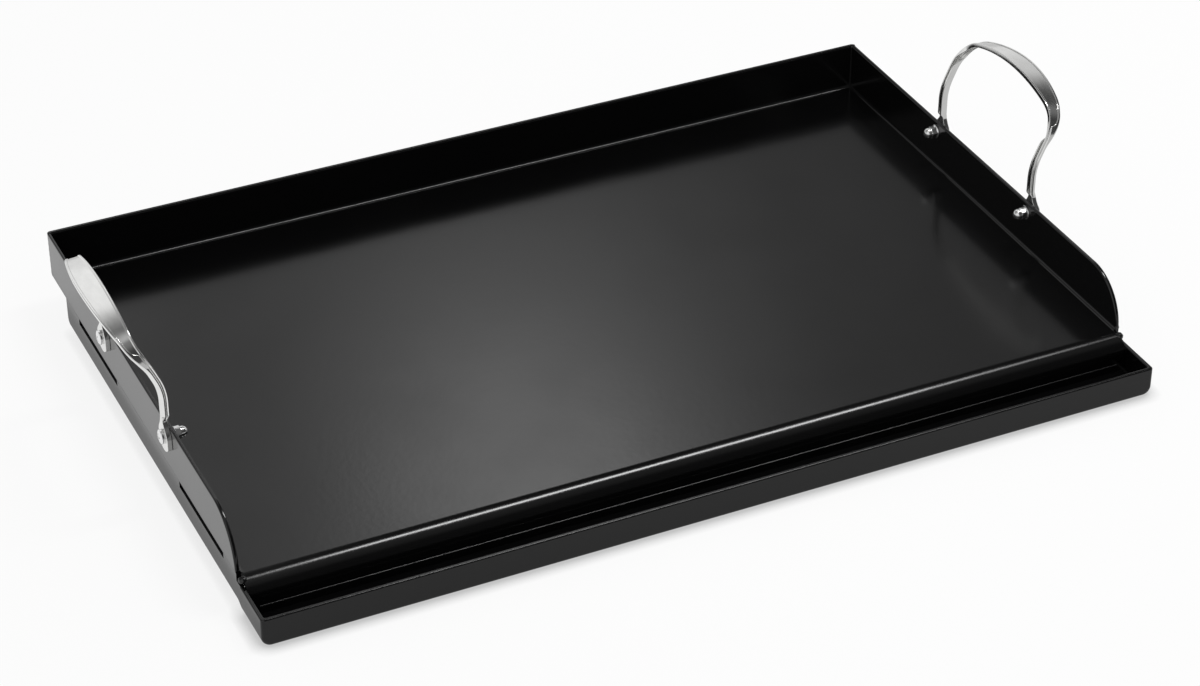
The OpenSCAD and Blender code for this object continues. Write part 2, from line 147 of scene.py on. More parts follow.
class HandleSizes(bpy.types.PropertyGroup):
    """Sizes of the pressed handles"""

    screw_pitch: metres("Screw pitch", "Between the two screws of a handle", 0.125)
    middle: metres("Middle", "Handle's middle behind the trough's front face", 0.226)
    screw_drop: metres("Screw drop", "Screws below the wall rim", 0.0075)
    tab_width: metres("Tab width", "Width of the tab under each screw", 0.0164)
    tab_depth: metres("Tab depth", "Depth of the tab from the wall to its outer face", 0.0034)
    tab_end_radius: metres(
        "Tab end radius", "Radius of the tab's lower end about the screw", 0.0103
    )
    strip: metres("Strip", "Thickness of the folded strip", 0.0013)
    leg_width: metres("Leg width", "Width of a leg along the wall", 0.0046)
    leg_depth: metres("Leg depth", "Depth of a leg across the wall", 0.0056)
    leg_inside: metres("Leg inside", "Reach of the legs inside the wall's outer face", 0.0021)
    leg_shift: metres("Leg shift", "Shift of the legs towards the handle's middle", 0.001)
    fold_height: metres("Fold height", "Height of the grip's folded edges", 0.0032)
    leg_straight: metres("Straight leg", "Height at which a leg starts to lean", 0.0254)
    lean_radius: metres("Lean radius", "Radius of the outward bend", 0.0443)
    lean: degrees("Lean", "Outward lean of the grip", 23.7)
    leg_length: metres("Leg length", "From screw to shoulder, along the metal", 0.0539)
    shoulder_radius: metres("Shoulder radius", "Radius between leg and grip", 0.027)
    grip_rise: degrees("Grip rise", "Rise of the arched grip at each end", 18.7)
    neck_width: metres("Neck width", "Width between leg and grip", 0.008)
    grip_width: metres("Grip width", "Width of the grip in its middle", 0.0159)
    grip_full: number("Fullness", "Fullness of the grip's outline, 1 for a slender leaf", 0.74)
    neck_up: metres("Neck", "Strip between the top of a leg and the neck", 0.021)
    blend_length: metres(
        "Blend", "Top of a leg in which its folds change into those of the grip", 0.005
    )
    grip_shift: metres("Grip shift", "Shift of the grip outwards from the legs", 0.0026)
    grip_tilt: degrees("Grip tilt", "Tilt of the grip's face back towards the tray", 15.3)
    face_half: metres("Pressed face", "Half length of the pressed face of the grip", 0.066)
    face_rim: metres("Face rim", "Rim left round the pressed face", 0.0014)
    face_depth: metres("Face depth", "Depth of the pressed face", 0.0005)
    face_tongue: metres("Face tongue", "Length of the pressed face's rounded end", 0.006)
    face_slope: metres("Face slope", "Run of the slope at the edge of the pressed face", 0.0005)
    leg_lip: metres("Leg lip", "Width of the lip beside a leg's groove", 0.0013)
    grip_lip: metres("Grip lip", "Width of the lip along the grip's inner edge", 0.0011)
    leg_groove: metres("Leg groove", "Width of the groove down a leg", 0.0013)
    grip_groove: metres("Grip groove", "Width of the groove at the ends of the grip", 0.0012)
    groove_depth: metres("Groove depth", "Depth of the groove down a leg", 0.0008)
    lip_slope: metres("Lip slope", "Fall of a leg's lip towards its groove", 0.0006)
    leg_round: metres("Leg rounding", "Rounding of a leg's outer edge", 0.0021)
    crimp_top: metres("Crimp top", "Height above the screw at which the leg is crimped", 0.0155)
    crimp_length: metres("Crimp length", "Length over which the leg is pressed flat", 0.004)
    flare_top: metres("Flare top", "Height above the screw at which the tab widens", 0.0125)
    flare_low: metres("Flare low", "Height above the screw at which the tab is full", 0.001)


class FastenerSizes(bpy.types.PropertyGroup):
    """Sizes of screws, washers and cap nuts"""

    screw_diameter: metres("Screw", "Diameter of the shank", 0.005)
    head_diameter: metres("Head", "Diameter of the head", 0.010)
    head_height: metres("Head height", "Height of the head", 0.0032)
    head_crown: metres("Crown", "Rise of the head above its edge", 0.0013)
    recess_length: metres("Recess", "Length of the cross recess", 0.0056)
    recess_width: metres("Recess width", "Width of the cross recess", 0.0013)
    recess_depth: metres("Recess depth", "Depth of the cross recess", 0.0015)
    washer_diameter: metres("Washer", "Outside diameter of the washer", 0.010)
    washer_thickness: metres("Washer thickness", "Thickness of the washer", 0.001)
    nut_flats: metres("Nut", "Width of the cap nut across its flats", 0.008)
    nut_hexagon: metres("Hexagon", "Height of the nut's hexagon", 0.004)
    dome_diameter: metres("Dome", "Diameter of the nut's dome", 0.0074)
    nut_height: metres("Nut height", "Height of the nut over all", 0.009)
    nut_hole: metres("Nut hole", "Depth of the blind hole", 0.0066)
    hole_gap: metres("Hole gap", "Radial clearance of the screws", 0.00025)


class WeldSizes(bpy.types.PropertyGroup):
    """Sizes of the weld beads"""

    stitch_length: metres("Stitch", "Length of each stitch between rail and tray", 0.016)
    stitch_radius: metres("Stitch radius", "Radius of those stitches", 0.0035)
    stitch_ripple: metres("Stitch ripple", "Spacing of their ripples", 0.0032)
    seam_radius: metres("Seam radius", "Radius of the seam behind the trough", 0.003)
    seam_ripple: metres("Seam ripple", "Spacing of its ripples", 0.0042)
    corner_ripple: metres("Corner ripple", "Spacing of the ripples in the back corners", 0.0045)


class Finishes(bpy.types.PropertyGroup):
    """Colours and gloss of the finishes"""

    coating: colour("Coating", "Colour of the black coating", (0.002, 0.002, 0.0021))
    coating_roughness: share("Coating roughness", "Roughness of the coating", 0.155)
    stainless: colour("Stainless", "Colour of the handles", (0.8, 0.8, 0.79))
    stainless_roughness: share("Stainless roughness", "Roughness of the handles", 0.13)
    bright: colour("Bright plating", "Colour of the fasteners", (0.86, 0.86, 0.86))
    bright_roughness: share("Plating roughness", "Roughness of the fasteners", 0.07)


class StudioSettings(bpy.types.PropertyGroup):
    """Camera, floor and light"""

    floor: colour("Floor", "Colour of the studio floor", (0.93, 0.93, 0.93))
    eye: FloatVectorProperty(
        name="Eye", description="Place of the camera", default=(-0.7904, -1.6906, 1.2539),
        subtype="TRANSLATION", unit="LENGTH",
    )
    pitch: degrees("Pitch", "Tilt of the camera up from straight down", 56.21)
    yaw: degrees("Yaw", "Turn of the camera to the right", 25.23)
    lens: number("Lens", "Focal length in millimetres", 98.25)
    ambient: number("Ambient", "Level of the light from all round", 0.75)
    key_power: FloatProperty(
        name="Key", description="Power of the two overhead lamps", default=15, unit="POWER"
    )
    glow: number("Glow", "Level of the bright patch of wall behind the plate", 3.6)


GROUPS = {
    "griddle_tray": TraySizes,
    "griddle_trough": TroughSizes,
    "griddle_rail": RailSizes,
    "griddle_handle": HandleSizes,
    "griddle_fastener": FastenerSizes,
    "griddle_weld": WeldSizes,
    "griddle_finish": Finishes,
    "griddle_studio": StudioSettings,
}


# Shapes


def spread(start, end, steps):
    """Evenly spaced values from start to end."""
    return [start + (end - start) * i / steps for i in range(steps + 1)]


def arc(a, b, radius, start, end, steps):
    """Points of an arc about (a, b); the angles are in degrees."""
    turns = [math.radians(t) for t in spread(start, end, steps)]
    return [(a + radius * math.cos(t), b + radius * math.sin(t)) for t in turns]


def ease(t):
    """Smooth step from 0 to 1."""
    t = max(0.0, min(1.0, t))
    return t * t * (3 - 2 * t)


class Shell:
    """Faces given by their corner points; points that coincide become one vertex."""

    def __init__(self):
        self.index, self.points, self.faces = {}, [], []

    def corner(self, point):
        key = tuple(round(c, 7) for c in point)
        if key not in self.index:
            self.index[key] = len(self.points)
            self.points.append(point)
        return self.index[key]

    def face(self, *points):
        ring = [self.corner(p) for p in points]
        ring = [a for a, b in zip(ring, ring[1:] + ring[:1]) if a != b]
        if len(set(ring)) > 2:
            self.faces.append(ring)

    def strip(self, row, other):
        for a, b, c, d in zip(row, row[1:], other[1:], other):
            self.face(a, b, c, d)

    def loop(self, ring, other):
        self.strip(ring + ring[:1], other + other[:1])

    def skin(self, rows, caps=(), closed=True):
        """Faces between rows of points, which are rings if closed, and flat caps on some rows."""
        join = self.loop if closed else self.strip
        for row, other in zip(rows, rows[1:]):
            join(row, other)
        for i in caps:
            self.face(*rows[i])

    def solid(self):
        """The shell as a mesh with its faces turned outwards."""
        mesh = bpy.data.meshes.new("shell")
        mesh.from_pydata(self.points, [], self.faces)
        mesh.validate()
        bm = bmesh.new()
        bm.from_mesh(mesh)
        bpy.data.meshes.remove(mesh)
        bmesh.ops.recalc_face_normals(bm, faces=bm.faces)
        return bm


def lathe(profile, steps):
    """Solid turned from a closed profile of (radius, height) about the Z axis."""
    shell = Shell()
    turns = [math.tau * i / steps for i in range(steps)]
    rings = [[(r * math.cos(t), r * math.sin(t), z) for t in turns] for r, z in profile]
    shell.skin(rings)
    return shell.solid()


def round_edges(bm, chosen, radius, segments=3):
    """Rounds the edges whose two end points satisfy chosen(a, b)."""
    edges = [e for e in bm.edges if chosen(e.verts[0].co, e.verts[1].co)]
    bmesh.ops.bevel(
        bm, geom=edges, offset=radius, segments=segments, profile=0.5, affect="EDGES",
        clamp_overlap=True,
    )


def near(a, b):
    return abs(a - b) < TOUCH


def join_into(target, source):
    """Adds one mesh to another and frees it."""
    mesh = bpy.data.meshes.new("joined")
    source.to_mesh(mesh)
    source.free()
    target.from_mesh(mesh)
    bpy.data.meshes.remove(mesh)


def cut_away(bm, cutter):
    """Takes one mesh out of another."""
    scratch = []
    for source in (bm, cutter):
        mesh = bpy.data.meshes.new("cut")
        source.to_mesh(mesh)
        source.free()
        scratch.append(bpy.data.objects.new("cut", mesh))
        bpy.context.scene.collection.objects.link(scratch[-1])
    body, tool = scratch
    cut = body.modifiers.new("cut", "BOOLEAN")
    cut.operation, cut.solver, cut.object = "DIFFERENCE", "EXACT", tool
    bpy.context.view_layer.update()
    shown = body.evaluated_get(bpy.context.evaluated_depsgraph_get())
    made = bpy.data.meshes.new_from_object(shown)
    result = bmesh.new()
    result.from_mesh(made)
    for item in scratch:
        bpy.data.objects.remove(item)
    bpy.data.meshes.remove(made)
    return result


def add_piece(name, bm, finish, node, sharp=35):
    """Puts a finished mesh into the scene in place of a CAD node."""
    mesh = bpy.data.meshes.new(name)
    bm.to_mesh(mesh)
    bm.free()
    mesh.materials.append(finish)
    mesh.polygons.foreach_set("use_smooth", [True] * len(mesh.polygons))
    mesh.set_sharp_from_angle(angle=math.radians(sharp))
    piece = bpy.data.objects.new(name, mesh)
    bpy.context.scene.collection.objects.link(piece)
    shading = piece.modifiers.new("Even shading", "WEIGHTED_NORMAL")
    shading.keep_sharp = True
    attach(piece, "root")
    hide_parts(node)
    return piece


def to_frame(bm, scene):
    """Moves a mesh whose y starts at the trough's front face into the part's frame."""
    bmesh.ops.translate(bm, vec=(0, -scene.griddle_tray.depth / 2, 0), verts=bm.verts)
    return bm


def screw_place(scene, side, end):
    """Matrix that sets a piece drawn along +Z outwards from the wall's outer face at a screw."""
    tray, handle = scene.griddle_tray, scene.griddle_handle
    place = Vector((
        side * tray.width / 2,
        handle.middle + end * handle.screw_pitch / 2 - tray.depth / 2,
        tray.rim_height - handle.screw_drop,
    ))
    return Matrix.Translation(place) @ Matrix.Rotation(side * math.pi / 2, 4, "Y")


def hole_pins(scene, side, low, high):
    """Pins that drill the holes of both screws of a side, from low to high along the screws."""
    sizes = scene.griddle_fastener
    radius = sizes.screw_diameter / 2 + sizes.hole_gap
    pins = bmesh.new()
    for end in ENDS.values():
        pin = lathe([(0, low), (radius, low), (radius, high), (0, high)], 32)
        pin.transform(screw_place(scene, side, end))
        join_into(pins, pin)
    return pins


# Tray, trough and rails


def bend_profile(foot_height, radius, angles):
    """Bend from floor to wall as pairs of distance from the floor's edge and height."""
    return [(radius * math.sin(a), foot_height - radius * math.cos(a)) for a in angles]


def tray_measures(scene):
    """Measures that the tray shares with the trough, the rails and the welds."""
    tray, trough = scene.griddle_tray, scene.griddle_trough
    inner = tray.width / 2 - tray.sheet
    return {
        "half": tray.width / 2,
        "inner": inner,
        "floor": tray.floor_height,
        "under": tray.floor_height - tray.sheet,
        "foot_x": inner - tray.bend_radius,
        "foot_y": tray.depth - tray.sheet - tray.bend_radius,
        "foot_z": tray.floor_height + tray.bend_radius,
        "out_r": tray.bend_radius + tray.sheet,
        "weld_r": tray.sheet - tray.corner_root,
        "lip": tray.wall_setback - tray.roll_radius,
        "lip_back": tray.wall_setback - tray.roll_radius + tray.sheet,
        "trough_back": tray.wall_setback - tray.roll_radius + tray.sheet + trough.ledge,
    }


def tray_solid(scene):
    """The folded tray with its roll and lip, as one closed sheet."""
    tray, trough, m = scene.griddle_tray, scene.griddle_trough, tray_measures(scene)
    front, rim, inner, half = tray.wall_setback, tray.rim_height, m["inner"], m["half"]
    foot_x, foot_y, foot_z = m["foot_x"], m["foot_y"], m["foot_z"]
    notch = half - m["weld_r"] - foot_x
    steps = [math.radians(a) for a in spread(0, 90, 10)]
    inside = bend_profile(foot_z, tray.bend_radius, steps)
    at_roll_end = math.asin((inner - foot_x) / m["out_r"])
    at_notch = math.asin(notch / m["out_r"])
    outside = bend_profile(foot_z, m["out_r"], sorted(steps + [at_roll_end, at_notch]))
    curve = arc(front + tray.wall_curve, rim - tray.wall_curve, tray.wall_curve, 180, 90, 28)
    curve = [(front, foot_z)] + [p for p in curve if p[1] > foot_z + tray.rim_round]

    # Floor, then bends and walls, first on the inside and then on the outside.
    shell = Shell()
    plan = [(-foot_x, front), (foot_x, front), (foot_x, foot_y), (-foot_x, foot_y)]
    for z in (m["floor"], m["under"]):
        shell.face(*[(x, y, z) for x, y in plan])
    for profile, stop in ((inside, tray.bend_radius), (outside, notch)):
        for (a, z), (b, w) in zip(profile, profile[1:]):
            sa, sb = min(a, stop), min(b, stop)
            shell.face(
                (-foot_x - sa, foot_y + a, z), (foot_x + sa, foot_y + a, z),
                (foot_x + sb, foot_y + b, w), (-foot_x - sb, foot_y + b, w),
            )
            for s in SIDES.values():
                shell.face(
                    (s * (foot_x + a), front, z), (s * (foot_x + a), foot_y + sa, z),
                    (s * (foot_x + b), foot_y + sb, w), (s * (foot_x + b), front, w),
                )
        reach = profile[-1][0]
        end = min(reach, stop)
        wall = curve + [(foot_y + end, rim), (foot_y + end, foot_z)]
        for s in SIDES.values():
            shell.face(*[(s * (foot_x + reach), y, z) for y, z in wall])
        x, y = foot_x + end, foot_y + reach
        shell.face((-x, y, foot_z), (x, y, foot_z), (x, y, rim), (-x, y, rim))

    # Front ends of the side walls, and the notches for the corner welds.
    upper = [p for p in outside if p[0] >= inner - foot_x - 1e-9]
    lower = [p for p in outside if p[0] <= inner - foot_x + 1e-9]
    notched = [p for p in outside if p[0] >= notch - 1e-9]
    for s in SIDES.values():
        shell.strip([(s * inner, y, z) for y, z in curve], [(s * half, y, z) for y, z in curve])
        foot = [(foot_x + a, z) for a, z in inside] + [(foot_x + a, z) for a, z in reversed(upper)]
        shell.face(*[(s * x, front, z) for x, z in foot + [(inner, m["floor"])]])
        below = [(s * (foot_x + a), front, z) for a, z in lower]
        shell.face(*below, (s * inner, front, m["under"]))
        edge = foot_y + notch
        shell.face(
            *[(s * (foot_x + notch), foot_y + a, z) for a, z in notched],
            (s * (foot_x + notch), tray.depth, rim), (s * (foot_x + notch), edge, rim),
        )
        shell.face(
            *[(s * (foot_x + a), edge, z) for a, z in notched],
            (s * half, edge, rim), (s * (foot_x + notch), edge, rim),
        )
    # Rim.
    right = [
        (inner, foot_y + tray.bend_radius), (inner, curve[-1][0]), (half, curve[-1][0]),
        (half, foot_y + notch), (foot_x + notch, foot_y + notch), (foot_x + notch, tray.depth),
    ]
    shell.face(*[(x, y, rim) for x, y in right], *[(-x, y, rim) for x, y in reversed(right)])

    # Roll and lip, with the lip's lower corners coped to the trough.
    across = (-inner, -foot_x, foot_x, inner)
    centre = m["floor"] - tray.roll_radius
    outer_roll = arc(front, centre, tray.roll_radius, 90, 180, 20)
    inner_roll = arc(front, centre, tray.roll_radius - tray.sheet, 90, 180, 20)
    for roll in (outer_roll, inner_roll):
        shell.skin([[(x, y, z) for x in across] for y, z in roll], closed=False)
    cope_r = trough.end_radius - tray.sheet
    cope = arc(inner - cope_r, tray.sheet + cope_r, cope_r, 0, -90, 8)
    cope = cope + [(-x, z) for x, z in reversed(cope)]
    for y in (m["lip"], m["lip_back"]):
        shell.face(*[(x, y, centre) for x in across], *[(x, y, z) for x, z in cope])
    shell.strip([(x, m["lip"], z) for x, z in cope], [(x, m["lip_back"], z) for x, z in cope])
    cap = outer_roll + [(m["lip"], cope[0][1]), (m["lip_back"], cope[0][1])] + inner_roll[::-1]
    for s in SIDES.values():
        shell.face(*[(s * inner, y, z) for y, z in cap + [(front, upper[0][1])]])

    bm = shell.solid()

    def on_rim(a, b):
        if near(a.z, rim) and near(b.z, rim):
            off_corner = min(abs(a.x), abs(b.x)) < half - m["weld_r"] - TOUCH
            return off_corner or max(a.y, b.y) < foot_y + notch + TOUCH
        if not near(a.x, b.x) or min(a.z, b.z) < foot_z - TOUCH:
            return False
        at_corner = near(a.y, b.y) and near(a.y, foot_y + tray.bend_radius)
        return at_corner or (max(a.y, b.y) < curve[-1][0] + TOUCH and not near(a.z, b.z))

    round_edges(bm, on_rim, tray.rim_round)
    return bm


def trough_solid(scene):
    """The trough's pan: bottom, front wall and both ends."""
    tray, trough, m = scene.griddle_tray, scene.griddle_trough, tray_measures(scene)
    rim, back = trough.rim_height, m["trough_back"]

    def outline(inset):
        half, r = m["half"] - inset, trough.end_radius - inset
        corner = arc(r - half, inset + r, r, 180, 270, 10)
        left = [(-half, rim)] + corner
        return left + [(-x, z) for x, z in reversed(left)]

    rows = []
    for t in spread(0, math.pi / 2, 5):
        f = trough.front_radius
        rows.append((f * (1 - math.cos(t)), f * (1 - math.sin(t))))
    rows += [(back, 0), (back, tray.sheet)]
    for t in spread(math.pi / 2, 0, 4):
        g = trough.inner_radius
        rows.append((tray.sheet + g * (1 - math.cos(t)), tray.sheet + g * (1 - math.sin(t))))
    rings = [[(x, y, z) for x, z in outline(inset)] for y, inset in rows]
    shell = Shell()
    shell.skin(rings, (0, -1), closed=False)
    shell.face(*[ring[0] for ring in rings], *[ring[-1] for ring in reversed(rings)])
    # Low flange of the trough in front of the tray's lip.
    reach, lip = m["inner"] - trough.end_radius, m["lip"]
    thick, high = trough.flange_thickness, trough.flange_height
    rooted = tray.sheet - 0.0001
    edge = [(lip, rooted), (lip, high)]
    edge += arc(lip - thick * 0.3, high - thick * 0.7, thick * 0.7, 90, 180, 6)
    edge += [(lip - thick, rooted)]
    for x in (-reach, reach):
        shell.face(*[(x, y, z) for y, z in edge])
    shell.loop([(-reach, y, z) for y, z in edge], [(reach, y, z) for y, z in edge])
    bm = shell.solid()

    def on_rim(a, b):
        return near(a.z, rim) and near(b.z, rim) and min(a.y, b.y) < back - TOUCH

    round_edges(bm, on_rim, trough.rim_round)
    return bm


def vent_starts(scene):
    """The rails' back end, and where each of their vent slots starts."""
    tray, rail = scene.griddle_tray, scene.griddle_rail
    end = tray.depth - rail.back_gap
    return end, [tray.wall_setback + rail.front_land, end - rail.rear_land - rail.vent_length]


def rail_solid(scene, side):
    """One side rail with its vent slots, fitted to the tray's bend."""
    tray, trough, rail = scene.griddle_tray, scene.griddle_trough, scene.griddle_rail
    m = tray_measures(scene)
    inner, front = m["inner"], tray.wall_setback
    # The rail's face meets the tray's bend at the seam, and stands proud of it by a hair.
    proud = 0.00002
    half = m["foot_x"] + math.sqrt(m["out_r"] ** 2 - rail.seam_drop**2) + proud
    end, vents = vent_starts(scene)
    seam = m["foot_z"] - rail.seam_drop
    vent_z = seam - rail.vent_height
    start = math.asin(rail.seam_drop / m["out_r"])
    stop = math.acos((inner - m["foot_x"]) / m["out_r"])
    cope = [
        (m["foot_x"] + m["out_r"] * math.cos(a), m["foot_z"] - m["out_r"] * math.sin(a))
        for a in spread(start, stop, 6)
    ]
    cope[0] = (cope[0][0], seam)
    r = rail.corner_radius
    low = [(m["trough_back"], rail.step_height), (m["trough_back"] + rail.step_run, rail.height)]
    low += arc(end - r, rail.height + r, r, -90, 0, 6)
    high = [(end, None)]
    for vent in reversed(vents):
        far = vent + rail.vent_length
        high += [(far, None), (far, vent_z), (vent, vent_z), (vent, None)]
    high += [(front, None), (front, trough.rim_height), (m["trough_back"], trough.rim_height)]
    lines = []
    for y, z in low + high:
        section = [(half, z), (inner, z)] if z is not None else [(half, seam)] + cope
        lines.append([(side * x, y, w) for x, w in section])
    shell = Shell()
    shell.face(*[line[0] for line in lines])
    shell.face(*[line[-1] for line in lines])
    for line, other in zip(lines, lines[1:] + lines[:1]):
        if len(line) == len(other) > 2 and near(line[0][2], other[0][2]):
            shell.strip(line, other)
        else:
            shell.face(*line, *reversed(other))
    bm = shell.solid()

    def on_face(a, b):
        return near(abs(a.x), half) and near(abs(b.x), half)

    round_edges(bm, on_face, rail.edge_round, 2)
    return bm


# Handles


def leaning(handle, v):
    """Offset outwards, height and slope of the leaning profile at length v from the screws."""
    bend = handle.lean_radius * handle.lean
    past = v - handle.leg_straight
    if past <= 0:
        return 0.0, v, 0.0
    if past <= bend:
        turn = past / handle.lean_radius
        return (
            handle.lean_radius * (1 - math.cos(turn)),
            handle.leg_straight + handle.lean_radius * math.sin(turn),
            turn,
        )
    rest = past - bend
    sine, cosine = math.sin(handle.lean), math.cos(handle.lean)
    return (
        handle.lean_radius * (1 - cosine) + rest * sine,
        handle.leg_straight + handle.lean_radius * sine + rest * cosine,
        handle.lean,
    )


def rounded(corners, steps=3):
    """Closed outline with each corner (a, b, radius) rounded by the same number of points."""
    outline = []
    for i, (a, b, radius) in enumerate(corners):
        here = Vector((a, b))
        back = Vector(corners[i - 1][:2]) - here
        ahead = Vector(corners[(i + 1) % len(corners)][:2]) - here
        room = min(back.length, ahead.length) * 0.49
        if min(room, radius) < TOUCH:
            outline += [(a, b)] * (steps + 1)
            continue
        half = back.angle(ahead) / 2
        reach = min(room, radius / math.tan(max(half, 0.05)))
        start, end = here + back.normalized() * reach, here + ahead.normalized() * reach
        for t in spread(0, 1, steps):
            # The middle point is weighted so that a right angle gives a true quarter circle.
            w = math.sin(half)
            blend = (1 - t) ** 2 * start + 2 * w * t * (1 - t) * here + t * t * end
            outline.append(tuple(blend / ((1 - t) ** 2 + 2 * w * t * (1 - t) + t * t)))
    return outline


def between(a, b, t):
    return a + (b - a) * t


def strip_section(handle, d, v, arch_half):
    """Section of the folded strip: outwards from the handle's plane, then away from its middle."""
    leaf_half = arch_half - handle.neck_up

    def leaf_width(at):
        swell = math.cos(math.pi / 2 * min(abs(at), leaf_half) / leaf_half) ** handle.grip_full
        return handle.neck_width + (handle.grip_width - handle.neck_width) * swell

    # Half the leaf's width, averaged over nine places so that its ends run out smoothly.
    apart = 0.0015
    leaf = sum(leaf_width(d + k * apart) for k in range(-4, 5)) / 9 / 2
    blend = ease((arch_half + handle.blend_length - d) / (handle.neck_up + handle.blend_length))
    press = flare = 0.0
    if d > arch_half:
        press = ease((handle.crimp_top - v) / handle.crimp_length)
        flare = ease((handle.flare_top - v) / (handle.flare_top - handle.flare_low))
    deep, wide, thick = handle.leg_depth / 2, handle.leg_width / 2, handle.strip
    wall_face = handle.leg_inside - deep
    inner = between(between(-deep, -leaf, blend), wall_face, press)
    outer = between(between(deep, leaf, blend), wall_face + handle.tab_depth, press)
    tab = handle.tab_width / 2
    if v < 0 and d > arch_half:
        tab = min(tab, math.sqrt(max(handle.tab_end_radius**2 - v * v, 1e-8)))
    top = between(between(wide - handle.leg_shift, handle.fold_height / 2, blend), tab, flare)
    low = between(between(-wide - handle.leg_shift, -handle.fold_height / 2, blend), -tab, flare)
    web = between(thick, outer - inner, press)
    under = between(inner, outer - web - FOLD_GAP, ease(1.6 * blend))
    hem = between(top - thick - FOLD_GAP, low, ease(1.4 * blend - 0.4))
    lip_back = between(inner + thick, inner, press)

    # Pressed face of the grip, which runs on as a groove beside a lip down the leg.
    fit = min(1, (outer - inner) / (2 * deep))
    lip = between(handle.leg_lip, handle.grip_lip, blend) * fit
    sunk = between(handle.groove_depth, handle.face_depth, blend) * (1 - press)
    groove = inner + lip + between(handle.leg_groove, handle.grip_groove, blend) * fit
    end = (d - handle.face_half + handle.face_tongue) / handle.face_tongue
    face_edge = groove
    if end < 1:
        full = math.sqrt(1 - max(0, end) ** 2)
        face_edge = max(groove, between(groove, outer - handle.face_rim, full))
    step = handle.face_slope * fit

    # Radii of the corners: outer edges, cut edges, creases of the face and insides of the folds.
    soft = between(between(0.0016, 0.0008, blend), 0.0003, press)
    keen = between(0.0005, 0.0003, press)
    crease, fold, hem_edge = 0.0002 * fit, 0.0005, 0.0004
    # The legs are round on the outside, and their lip slopes towards the groove.
    bevel = between(between(handle.leg_round, 0.0003, blend), 0.0002, press)
    slope = between(handle.lip_slope, 0, blend) * (1 - press)
    corners = [
        (inner, top, keen), (inner + lip, top - slope, crease),
        (inner + lip + step, top - sunk - slope, crease),
        (face_edge - step, top - sunk, crease), (face_edge, top, crease),
        (outer - bevel, top, bevel), (outer, top - bevel * 0.9, bevel),
        (outer, low, soft), (under, low, keen),
        (under, low + thick, hem_edge), (outer - web, low + thick, fold),
        (outer - web, top - thick, fold), (lip_back, top - thick, fold),
        (lip_back, hem, hem_edge), (inner, hem, keen),
    ]
    if press > 0.999:
        # The flat tab keeps only the rounding of its outer corners.
        corners = [(p, q, r if i in (0, 5, 6, 7, 8) else 0) for i, (p, q, r) in enumerate(corners)]
    c, s = math.cos(handle.grip_tilt * blend), math.sin(handle.grip_tilt * blend)
    shift = handle.grip_shift * blend
    return [(shift + p * c - q * s, p * s + q * c) for p, q in rounded(corners)]


def handle_solid(scene, side):
    """One pressed handle: tab, leg, shoulder, leaf-shaped grip and back down again."""
    tray, handle = scene.griddle_tray, scene.griddle_handle
    half_pitch = handle.screw_pitch / 2
    turn = math.pi / 2 - handle.grip_rise
    shoulder_u = half_pitch - handle.shoulder_radius * (1 - math.cos(turn))
    grip_r = shoulder_u / math.sin(handle.grip_rise)
    shoulder_v = handle.leg_length + handle.shoulder_radius * math.sin(turn)
    grip_v = shoulder_v - grip_r * math.cos(handle.grip_rise)
    grip_arc, shoulder_arc = grip_r * handle.grip_rise, handle.shoulder_radius * turn
    arch_half = grip_arc + shoulder_arc

    def station(d):
        """Place across, length up the metal and heading from upright, on the front half."""
        if d < grip_arc:
            h = turn + handle.grip_rise * (1 - d / grip_arc)
            return -grip_r * math.cos(h), grip_v + grip_r * math.sin(h), h
        if d < arch_half:
            h = turn * (1 - (d - grip_arc) / shoulder_arc)
            u = handle.shoulder_radius * (1 - math.cos(h)) - half_pitch
            return u, handle.leg_length + handle.shoulder_radius * math.sin(h), h
        return -half_pitch, handle.leg_length - (d - arch_half), 0.0

    reach = arch_half + handle.leg_length + handle.tab_end_radius
    count = round(reach / STRIP_STEP)
    tip = [reach - handle.tab_end_radius * k for k in (0.06, 0.03, 0.012, 0.003)]
    half = sorted(set([d for d in spread(0, reach, count) if d < tip[0]] + tip))
    rings, along = [], []
    for d in [-d for d in reversed(half[1:])] + half:
        u, v, h = station(abs(d))
        section = strip_section(handle, abs(d), v, arch_half)
        if d > 0:
            u, h = -u, math.pi - h
        out, up, slope = leaning(handle, v)
        # Away from the middle of the arch, within its leaning plane.
        away = Vector((math.sin(h) * math.sin(slope), -math.cos(h), math.sin(h) * math.cos(slope)))
        normal = Vector((math.cos(slope), 0, -math.sin(slope)))
        middle = Vector((
            tray.width / 2 - handle.leg_inside + handle.leg_depth / 2 + out,
            handle.middle + u, tray.rim_height - handle.screw_drop + up,
        ))
        ring = [middle + p * normal + q * away for p, q in section]
        rings.append([(side * p.x, p.y, p.z) for p in ring])
        along.append((d, section))

    points = [p for ring in rings for p in ring]
    n = len(rings[0])
    faces = [
        (i * n + j, i * n + (j + 1) % n, (i + 1) * n + (j + 1) % n, (i + 1) * n + j)
        for i in range(len(rings) - 1) for j in range(n)
    ]
    last = (len(rings) - 1) * n
    faces += [tuple(range(n)), tuple(last + j for j in range(n))]
    bm = bmesh.new()
    verts = [bm.verts.new(p) for p in points]
    for face in faces:
        bm.faces.new([verts[i] for i in face])
    grain = bm.loops.layers.uv.new("grain")
    bm.verts.index_update()
    for face in bm.faces:
        for loop in face.loops:
            i, j = divmod(loop.vert.index, n)
            loop[grain].uv = (along[i][0], along[i][1][j][0] + along[i][1][j][1])
    bmesh.ops.remove_doubles(bm, verts=bm.verts, dist=2e-6)
    bmesh.ops.dissolve_degenerate(bm, dist=1e-6, edges=bm.edges)
    bmesh.ops.recalc_face_normals(bm, faces=bm.faces)
    return bm


# Fasteners


